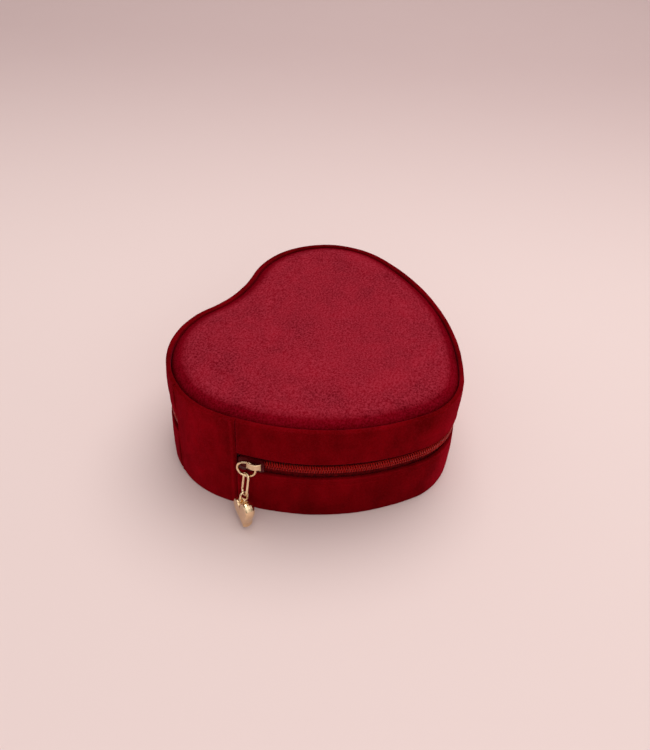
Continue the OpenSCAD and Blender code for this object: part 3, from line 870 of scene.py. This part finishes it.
# --- camera, light and floor ---
camera_data = bpy.data.cameras.new("camera")
camera_data.lens = 38.3
camera_data.sensor_width = 36
camera_data.clip_start = 0.01
camera = bpy.data.objects.new("camera", camera_data)
camera_place = (-0.19514, -0.11752, 0.2453)
pitch, heading_angle, roll = 46.3, -58.2, 3.7
camera.matrix_world = (
    Matrix.Translation(camera_place)
    @ Matrix.Rotation(math.radians(heading_angle), 4, "Z")
    @ Matrix.Rotation(math.radians(pitch), 4, "X")
    @ Matrix.Rotation(math.radians(roll), 4, "Z"))
bpy.context.scene.collection.objects.link(camera)
bpy.context.scene.camera = camera


def area_light(name, place, power):
    """Large round lamp turned towards the box."""
    target = Vector((0, 0, 0.02))
    data = bpy.data.lights.new(name, "AREA")
    data.shape = "DISK"
    data.size = 1.0
    data.energy = power
    data.color = (1.0, 0.98, 0.97)
    light = bpy.data.objects.new(name, data)
    light.location = place
    light.rotation_euler = (target - Vector(place)).to_track_quat("-Z", "Y").to_euler()
    bpy.context.scene.collection.objects.link(light)


area_light("key", (0.32, 0.03, 0.95), 7.4)
area_light("front", (-0.5, -0.5, 0.75), 2.6)


def studio_world(plain_colour, dark, bright, strength):
    """Plain pale room. Only reflections see the soft bright and dark panels in it."""
    world = bpy.data.worlds.new("studio")
    world.use_nodes = True
    nodes, links = world.node_tree.nodes, world.node_tree.links
    direction = nodes.new("ShaderNodeTexCoord").outputs["Generated"]
    panels = nodes.new("ShaderNodeTexNoise")
    panels.inputs["Scale"].default_value = 4.5
    panels.inputs["Detail"].default_value = 0
    links.new(direction, panels.inputs["Vector"])
    ramp = nodes.new("ShaderNodeValToRGB")
    ramp.color_ramp.elements[0].position = 0.44
    ramp.color_ramp.elements[0].color = (*dark, 1)
    ramp.color_ramp.elements[1].position = 0.56
    ramp.color_ramp.elements[1].color = (*bright, 1)
    links.new(panels.outputs["Fac"], ramp.inputs["Fac"])
    seen = nodes.new("ShaderNodeMix")
    seen.data_type = "RGBA"
    links.new(nodes.new("ShaderNodeLightPath").outputs["Is Glossy Ray"], seen.inputs[MIX_SHARE])
    seen.inputs[MIX_FIRST].default_value = (*plain_colour, 1)
    links.new(ramp.outputs["Color"], seen.inputs[MIX_SECOND])
    links.new(seen.outputs[MIX_RESULT], nodes["Background"].inputs["Color"])
    nodes["Background"].inputs["Strength"].default_value = strength
    return world


bpy.context.scene.world = studio_world(plain_colour=(0.56, 0.53, 0.52), dark=(0.08, 0.07, 0.065),
                                       bright=(1.1, 1.06, 1.04), strength=0.8)
bpy.context.scene.view_settings.view_transform = "Standard"

floor_mesh = bpy.data.meshes.new("floor")
reach = 3.0
floor_mesh.from_pydata([(-reach, -reach, 0), (reach, -reach, 0), (reach, reach, 0), (-reach, reach, 0)], [],
                       [(0, 1, 2, 3)])
floor = bpy.data.objects.new("floor", floor_mesh)
bpy.context.scene.collection.objects.link(floor)


def paper(name, near, far, away, fades_from, fades_to):
    """Matte paper that turns from one colour to another along a direction on the floor; the far colour is
    darker as painted shade for the light falling off away from the lamps.
    """
    shader = Shader(name, Roughness=0.85, Specular_IOR_Level=0.2)
    across = shader.tree.nodes.new("ShaderNodeVectorMath")
    across.operation = "DOT_PRODUCT"
    across.inputs[1].default_value = away
    shader.tree.links.new(shader.place, across.inputs[0])
    painted_falloff = shader.tree.nodes.new("ShaderNodeMapRange")
    painted_falloff.interpolation_type = "SMOOTHSTEP"
    painted_falloff.inputs["From Min"].default_value = fades_from
    painted_falloff.inputs["From Max"].default_value = fades_to
    shader.tree.links.new(across.outputs["Value"], painted_falloff.inputs["Value"])
    mottle = shader.noise(45 * MM, detail=4, roughness=0.6)
    colour = shader.mix(painted_falloff.outputs["Result"], near, far)
    shader.link(shader.mix(shader.math("MULTIPLY", mottle, 0.06), colour, (0.7, 0.62, 0.6)), "Base Color")
    shader.bump(shader.noise(2 * MM, detail=3), 0.03 * MM, 0.3)
    return shader.material


# far is darker than near: painted shade for the light falling off towards the back.
pink_paper = paper("pink_paper", near=(0.755, 0.605, 0.58), far=(0.54, 0.4, 0.39), away=(0.85, 0.53, 0),
                   fades_from=0.05, fades_to=0.42)
floor.data.materials.append(pink_paper)
